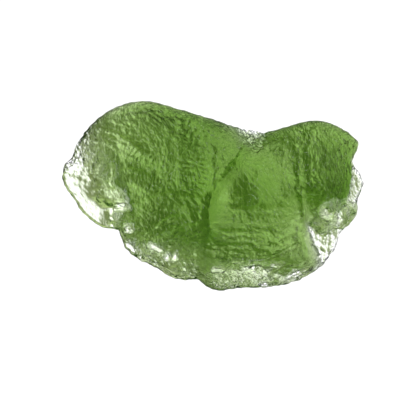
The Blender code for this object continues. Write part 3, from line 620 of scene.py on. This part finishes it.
def build_stone(cuts):
    """The stone as one object, in the place of its solid and flat where it rests."""
    mesh = quad_sphere(cuts)
    points, thick = shaped(read(mesh))
    write(mesh, points)
    points = etched(points, read(mesh, "normal"), thick)
    low, high = points.min(0), points.max(0)
    points -= ((low[0] + high[0]) / 2, (low[1] + high[1]) / 2, low[2] + REST_DEPTH)
    points[:, 2] = np.maximum(points[:, 2], 0)
    write(mesh, points)
    mesh.shade_smooth()
    stone = bpy.data.objects.new("etched_moldavite", mesh)
    bpy.context.scene.collection.objects.link(stone)
    return stone


def add(tree, kind, operation=None, **values):
    """A shader node with these input values. An underline in a name stands for a space."""
    node = tree.nodes.new("ShaderNode" + kind)
    if operation:
        node.operation = operation
    for name, value in values.items():
        node.inputs[name.replace("_", " ")].default_value = value
    return node


def vector_math(tree, operation, vector, other=None):
    """A vector node of this kind, fed by one vector and set to another."""
    node = add(tree, "VectorMath", operation)
    tree.links.new(vector, node.inputs[0])
    if other:
        node.inputs[1].default_value = other
    return node


def remap(tree, value, span, result=(0, 1), easing="LINEAR"):
    """A value led from a span to a result, and held at both ends."""
    node = add(tree, "MapRange", From_Min=span[0], From_Max=span[1], To_Min=result[0], To_Max=result[1])
    node.interpolation_type = easing
    tree.links.new(value, node.inputs["Value"])
    return node.outputs["Result"]


def combined(tree, operation, first, second):
    """Two values added or multiplied."""
    node = add(tree, "Math", operation)
    tree.links.new(first, node.inputs[0])
    tree.links.new(second, node.inputs[1])
    return node.outputs[0]


def tinted(tree, value, colours):
    """A colour by value, through these colours at even steps."""
    node = add(tree, "ValToRGB")
    stops = node.color_ramp.elements
    stops[0].color = colours[0]
    stops[1].color = colours[-1]
    for i, colour in enumerate(colours[1:-1], 1):
        stops.new(i / (len(colours) - 1)).color = colour
    tree.links.new(value, node.inputs["Fac"])
    return node.outputs["Color"]


def empty_material(name):
    made = bpy.data.materials.new(name)
    made.use_nodes = True
    made.node_tree.nodes.clear()
    output = made.node_tree.nodes.new("ShaderNodeOutputMaterial")
    return made, made.node_tree, output


def wrinkles(tree, place):
    """Fine wrinkles that run one way, bent by a broad noise."""
    bend = add(tree, "TexNoise", Scale=BEND_SCALE, Detail=1.0)
    tree.links.new(place, bend.inputs["Vector"])
    bent = vector_math(tree, "MULTIPLY_ADD", bend.outputs["Color"], (BEND, BEND, BEND))
    tree.links.new(place, bent.inputs[2])
    turn = add(tree, "Mapping", Rotation=(0, 0, math.radians(GRAIN_TURN)), Scale=GRAIN_SCALE)
    tree.links.new(bent.outputs[0], turn.inputs["Vector"])
    grain = add(tree, "TexNoise", Scale=1.0, Detail=2.0, Roughness=0.5, Distortion=0.4)
    tree.links.new(turn.outputs[0], grain.inputs["Vector"])
    return grain.outputs["Fac"]


def pitted(tree, place, grain):
    """The wrinkles with round pits among them."""
    pits = add(tree, "TexVoronoi", Scale=PIT_SCALE)
    pits.feature = "SMOOTH_F1"
    pits.inputs["Smoothness"].default_value = PIT_EASE
    tree.links.new(place, pits.inputs["Vector"])
    skin = add(tree, "Math", "MULTIPLY_ADD")
    skin.inputs[1].default_value = PIT_SHARE
    tree.links.new(pits.outputs["Distance"], skin.inputs[0])
    tree.links.new(grain, skin.inputs[2])
    return skin.outputs[0]


def grain_strength(tree, coordinates):
    """Full on the face, none on the belly, and faint on the flake."""
    parts = add(tree, "SeparateXYZ")
    tree.links.new(coordinates["Normal"], parts.inputs[0])
    upward = remap(tree, parts.outputs["Z"], FACE_UP)
    from_flake = vector_math(tree, "DISTANCE", coordinates["Object"], FLAKE_PLACE)
    rough = remap(tree, from_flake.outputs["Value"], FLAKE_REACH, (FLAKE_GRAIN, 1))
    return combined(tree, "MULTIPLY", upward, rough)


def glass():
    """Clear green glass with a wrinkled, finely pitted skin."""
    made, tree, output = empty_material("moldavite glass")
    link = tree.links.new
    coordinates = add(tree, "TexCoord").outputs
    grain = wrinkles(tree, coordinates["Object"])
    bump = add(tree, "Bump", Distance=GRAIN_DEPTH)
    link(grain_strength(tree, coordinates), bump.inputs["Strength"])
    link(pitted(tree, coordinates["Object"], grain), bump.inputs["Height"])
    shader = add(tree, "BsdfPrincipled", Roughness=GLASS_ROUGHNESS, IOR=GLASS_IOR, Metallic=0.0,
                 Transmission_Weight=1.0)
    depth = add(tree, "VolumeAbsorption", Color=ABSORPTION_TINT, Density=ABSORPTION)
    # Painted shade: the base colour is darker and greener where the wrinkles are low.
    link(tinted(tree, grain, GROOVE_SHADE_TINTS), shader.inputs["Base Color"])
    link(bump.outputs["Normal"], shader.inputs["Normal"])
    link(shader.outputs[0], output.inputs["Surface"])
    link(depth.outputs[0], output.inputs["Volume"])
    return made


def table_top_material():
    """A white table top that the light from below comes through."""
    made, tree, output = empty_material("white table top")
    path = add(tree, "LightPath")
    white = add(tree, "Emission", Strength=TABLE_WHITE)
    clear = add(tree, "BsdfTransparent")
    mix = add(tree, "MixShader")
    tree.links.new(path.outputs["Is Camera Ray"], mix.inputs[0])
    tree.links.new(clear.outputs[0], mix.inputs[1])
    tree.links.new(white.outputs[0], mix.inputs[2])
    tree.links.new(mix.outputs[0], output.inputs["Surface"])
    return made


def panel_light(tree, place):
    """The light of the panels in front and behind."""
    parts = add(tree, "SeparateXYZ")
    from_middle = add(tree, "Math", "ABSOLUTE")
    tree.links.new(place, parts.inputs[0])
    tree.links.new(parts.outputs["Y"], from_middle.inputs[0])
    span = [share * BOX_DEPTH for share in PANELS_FROM]
    return remap(tree, from_middle.outputs[0], span, (0, PANEL_LIGHT), "SMOOTHSTEP")


def evened(tree, place, light):
    """The light near the middle, and the room's light further out."""
    away = vector_math(tree, "LENGTH", place)
    span = [share * BOX_DEPTH for share in EVEN_FROM]
    even = remap(tree, away.outputs["Value"], span, easing="SMOOTHSTEP")
    mix = add(tree, "Mix", B=ROOM_LIGHT)
    tree.links.new(even, mix.inputs["Factor"])
    tree.links.new(light, mix.inputs["A"])
    return mix.outputs["Result"]


def light_box_material():
    """Soft light from below, brighter to one side, and with a panel in front and one behind."""
    made, tree, output = empty_material("light box")
    link = tree.links.new
    place = add(tree, "TexCoord").outputs["Object"]
    across = vector_math(tree, "DOT_PRODUCT", place, [share / BOX_DEPTH for share in BRIGHT_WAY])
    reach = (-LIGHT_REACH, LIGHT_REACH)
    side = remap(tree, across.outputs["Value"], reach, SIDE_LIGHT, "SMOOTHSTEP")
    light = evened(tree, place, combined(tree, "ADD", side, panel_light(tree, place)))
    shine = add(tree, "Emission")
    link(tinted(tree, remap(tree, across.outputs["Value"], reach), SIDE_TINTS), shine.inputs["Color"])
    link(light, shine.inputs["Strength"])
    mirrored = add(tree, "Emission", Strength=MIRRORED_LIGHT)
    path = add(tree, "LightPath")
    either = add(tree, "MixShader")
    link(path.outputs["Is Reflection Ray"], either.inputs[0])
    link(shine.outputs[0], either.inputs[1])
    link(mirrored.outputs[0], either.inputs[2])
    link(either.outputs[0], output.inputs["Surface"])
    return made


def sheet(name, size, height, material):
    bpy.ops.mesh.primitive_plane_add(size=size, location=(0, 0, height))
    made = bpy.context.object
    made.name = name
    made.data.materials.append(material)


def soft_light(name, place, power):
    """A square soft light that faces the stone."""
    light = bpy.data.lights.new(name, "AREA")
    light.size = SMALL_LIGHT_SIZE
    light.energy = power
    made = bpy.data.objects.new(name, light)
    made.location = place
    made.rotation_euler = (-Vector(place)).to_track_quat("-Z", "Y").to_euler()
    bpy.context.scene.collection.objects.link(made)


def pale_room():
    """A white room, darker where the skin mirrors it."""
    world = bpy.data.worlds.new("pale room")
    world.use_nodes = True
    room = world.node_tree
    background = room.nodes["Background"]
    background.inputs["Color"].default_value = (1, 1, 1, 1)
    mirrored = add(room, "LightPath").outputs["Is Reflection Ray"]
    level = remap(room, mirrored, (0, 1), (ROOM_LIGHT, MIRRORED_LIGHT))
    room.links.new(level, background.inputs["Strength"])
    return world


def build_stage():
    sheet("table top", TABLE_SIZE, -TABLE_DROP, table_top_material())
    sheet("light box", BOX_SIZE, -BOX_DEPTH, light_box_material())
    for name, place, power in SMALL_LIGHTS:
        soft_light(name, place, power)
    bpy.context.scene.world = pale_room()
    bpy.context.scene.view_settings.view_transform = "Standard"


def build_camera():
    """Straight above the stone, as far off as a long lens needs to frame the photo."""
    lens = bpy.data.cameras.new("photo camera")
    lens.lens = LENS
    lens.sensor_width = SENSOR
    lens.clip_start = NEAREST
    made = bpy.data.objects.new("photo camera", lens)
    picture_width = PHOTO_PIXELS * LENGTH / STONE_PIXELS
    made.location = Vector(AIM) + Vector((0, 0, picture_width * LENS / SENSOR))
    bpy.context.scene.collection.objects.link(made)
    bpy.context.scene.camera = made


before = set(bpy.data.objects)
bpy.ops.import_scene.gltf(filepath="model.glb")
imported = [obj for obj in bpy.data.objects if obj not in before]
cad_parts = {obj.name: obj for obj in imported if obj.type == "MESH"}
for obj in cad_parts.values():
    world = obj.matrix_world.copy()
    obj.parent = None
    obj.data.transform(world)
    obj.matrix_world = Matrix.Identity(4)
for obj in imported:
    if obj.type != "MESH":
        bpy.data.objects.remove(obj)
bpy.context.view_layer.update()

stone = build_stone(FINE_CUTS)
stone.data.materials.append(glass())
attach(stone, "root")
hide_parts("moldavite")
build_stage()
build_camera()
